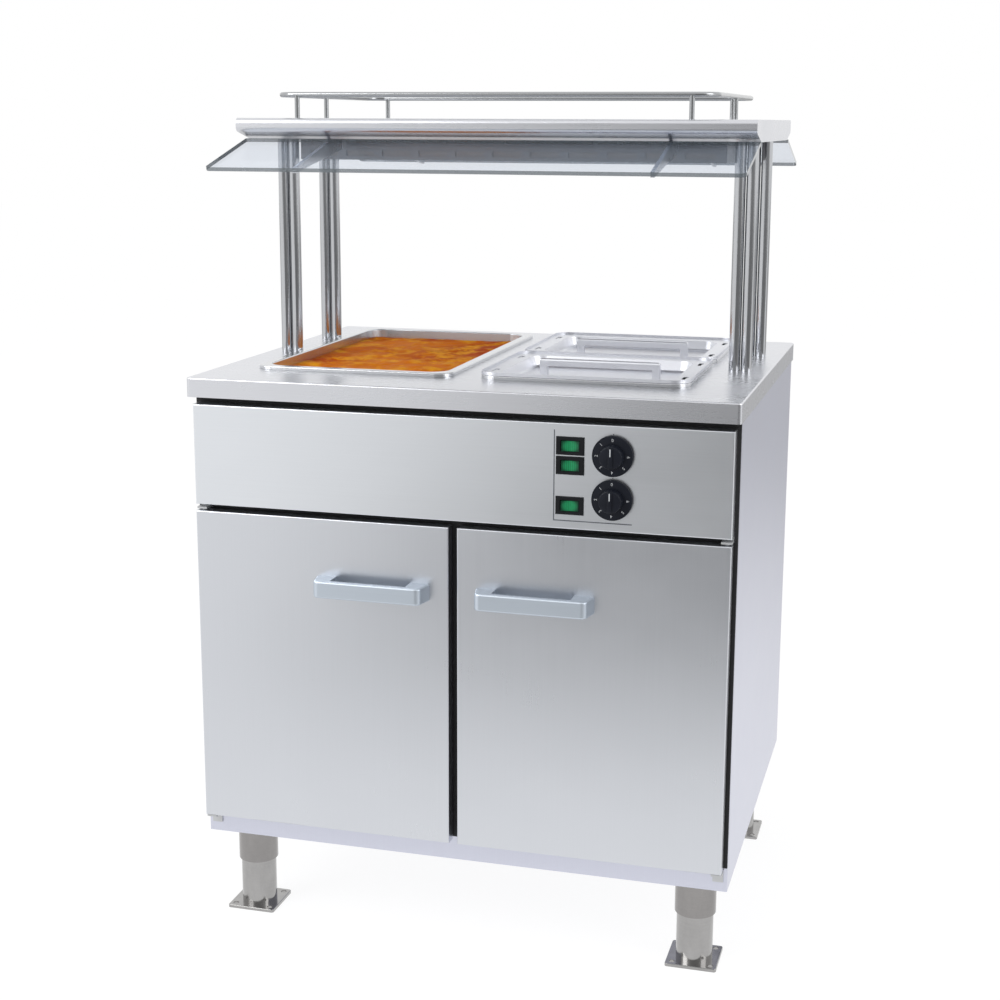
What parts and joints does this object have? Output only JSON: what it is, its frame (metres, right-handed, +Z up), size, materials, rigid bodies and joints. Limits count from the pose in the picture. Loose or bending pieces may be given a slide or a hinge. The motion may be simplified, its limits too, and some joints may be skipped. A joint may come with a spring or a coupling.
{
  "type": "bain marie",
  "caption": "Steel bain marie cabinet with pans in heated wells, a hinged-door hot cupboard below, and a glazed overshelf with heat lamps and a gallery rail on posts.",
  "frame": {"origin": "on the floor under the middle of the whole object", "axes": "+X to the right of someone facing the doors, +Y to the back, +Z up"},
  "size_m": [0.85, 0.788, 1.324],
  "materials": {
    "worktop_steel": "fine brushed, satin",
    "well_steel": "satin",
    "cabinet_steel": "fine brushed, satin",
    "inner_steel": "plain mill finish",
    "door_steel": "fine brushed, satin",
    "panel_steel": "fine brushed, satin",
    "post_steel": "polished",
    "shelf_steel": "fine brushed, satin",
    "rail_steel": "polished",
    "leg_steel": "satin",
    "screw_steel": "plain",
    "pan_steel": "bright rolled",
    "lid_steel": "bright rolled",
    "guard_glass": "clear toughened",
    "lamp_quartz": "frosted quartz",
    "element_metal": "heat-darkened",
    "black_seal": "matt",
    "black_plastic": "fine texture",
    "dial_plastic": "satin black with pale figures",
    "green_lens": "translucent",
    "handle_grey": "satin, pale blue-grey",
    "valve_brass": "plated",
    "drain_steel": "plain",
    "baked_food": "browned, moist"
  },
  "bodies": {
    "cabinet": {"back_panel": "cabinet_steel", "back_panel_screws": "screw_steel", "base_tray": "cabinet_steel", "cable_gland": "black_plastic", "centre_mullion": "inner_steel", "control_panel": "panel_steel", "cupboard_heater": "inner_steel", "cupboard_shelf": "inner_steel", "drain_pipe": "drain_steel", "drain_valve": "valve_brass", "front_glass": "guard_glass", "front_rails": "inner_steel", "front_seal": "black_seal", "gallery_posts": "rail_steel", "gallery_rail": "rail_steel", "glass_arms": "shelf_steel", "heat_lamps": "lamp_quartz", "heating_elements": "element_metal", "hinge_brackets": "inner_steel", "lamp_box": "shelf_steel", "lamp_guard": "rail_steel", "left_side_panel": "cabinet_steel", "left_well": "well_steel", "leg_sleeves": "leg_steel", "overshelf": "shelf_steel", "post_plates": "inner_steel", "rear_glass": "guard_glass", "right_side_panel": "cabinet_steel", "right_well": "well_steel", "shelf_posts": "post_steel", "switch_housings": "black_plastic", "terminal_box": "black_plastic", "thermostats": "element_metal", "well_deck": "inner_steel", "worktop": "worktop_steel"},
    "left_door": {"left_door_skin": "door_steel", "left_door_liner": "door_steel", "left_door_gasket": "black_seal", "left_door_handle": "handle_grey"},
    "right_door": {"right_door_skin": "door_steel", "right_door_liner": "door_steel", "right_door_gasket": "black_seal", "right_door_handle": "handle_grey"},
    "upper_switch": {"upper_rocker": "green_lens"},
    "middle_switch": {"middle_rocker": "green_lens"},
    "lower_switch": {"lower_rocker": "green_lens"},
    "well_knob": {"well_dial": "dial_plastic"},
    "cupboard_knob": {"cupboard_dial": "dial_plastic"},
    "valve_handle": {"drain_lever": "black_plastic"},
    "full_size_pan": {"full_pan": "pan_steel", "baked_dish": "baked_food"},
    "front_half_pan": {"front_pan": "pan_steel"},
    "rear_half_pan": {"rear_pan": "pan_steel"},
    "front_half_lid": {"front_lid": "lid_steel"},
    "rear_half_lid": {"rear_lid": "lid_steel"},
    "front_left_levelling_foot": {"front_left_foot": "leg_steel"},
    "rear_left_levelling_foot": {"rear_left_foot": "leg_steel"},
    "front_right_levelling_foot": {"front_right_foot": "leg_steel"},
    "rear_right_levelling_foot": {"rear_right_foot": "leg_steel"}
  },
  "joints": [
    {"name": "left_door_hinge", "type": "hinge", "parent": "cabinet", "child": "left_door", "pos_m": [-0.408, -0.348, 0.4355], "axis": [0, 0, -1], "range_deg": [0, 105]},
    {"name": "right_door_hinge", "type": "hinge", "parent": "cabinet", "child": "right_door", "pos_m": [0.408, -0.348, 0.4355], "axis": [0, 0, 1], "range_deg": [0, 105]},
    {"name": "upper_switch_rock", "type": "hinge", "parent": "cabinet", "child": "upper_switch", "pos_m": [0.1785, -0.357, 0.821], "axis": [0, 0, 1], "range_deg": [-12, 0]},
    {"name": "middle_switch_rock", "type": "hinge", "parent": "cabinet", "child": "middle_switch", "pos_m": [0.1785, -0.357, 0.792], "axis": [0, 0, 1], "range_deg": [-12, 0]},
    {"name": "lower_switch_rock", "type": "hinge", "parent": "cabinet", "child": "lower_switch", "pos_m": [0.1785, -0.357, 0.7325], "axis": [0, 0, 1], "range_deg": [-12, 0]},
    {"name": "well_knob_turn", "type": "hinge", "parent": "cabinet", "child": "well_knob", "pos_m": [0.242, -0.364, 0.81], "axis": [0, 1, 0], "range_deg": [0, 270]},
    {"name": "cupboard_knob_turn", "type": "hinge", "parent": "cabinet", "child": "cupboard_knob", "pos_m": [0.242, -0.364, 0.7455], "axis": [0, 1, 0], "range_deg": [0, 270]},
    {"name": "drain_valve_turn", "type": "hinge", "parent": "cabinet", "child": "valve_handle", "pos_m": [0.28, 0.2066, 0.5275], "axis": [0, 1, 0], "range_deg": [0, 90]},
    {"name": "front_left_foot_levelling", "type": "slide", "parent": "cabinet", "child": "front_left_levelling_foot", "axis": [0, 0, 1], "range_m": [-0.03, 0]},
    {"name": "rear_left_foot_levelling", "type": "slide", "parent": "cabinet", "child": "rear_left_levelling_foot", "axis": [0, 0, 1], "range_m": [-0.03, 0]},
    {"name": "front_right_foot_levelling", "type": "slide", "parent": "cabinet", "child": "front_right_levelling_foot", "axis": [0, 0, 1], "range_m": [-0.03, 0]},
    {"name": "rear_right_foot_levelling", "type": "slide", "parent": "cabinet", "child": "rear_right_levelling_foot", "axis": [0, 0, 1], "range_m": [-0.03, 0]},
    {"name": "full_pan_lift", "type": "slide", "parent": "cabinet", "child": "full_size_pan", "axis": [0, 0, 1], "range_m": [0, 0.16]},
    {"name": "front_pan_lift", "type": "slide", "parent": "cabinet", "child": "front_half_pan", "axis": [0, 0, 1], "range_m": [0, 0.16]},
    {"name": "rear_pan_lift", "type": "slide", "parent": "cabinet", "child": "rear_half_pan", "axis": [0, 0, 1], "range_m": [0, 0.16]},
    {"name": "front_lid_lift", "type": "slide", "parent": "front_half_pan", "child": "front_half_lid", "axis": [0, 0, 1], "range_m": [0, 0.12]},
    {"name": "rear_lid_lift", "type": "slide", "parent": "rear_half_pan", "child": "rear_half_lid", "axis": [0, 0, 1], "range_m": [0, 0.12]}
  ]
}
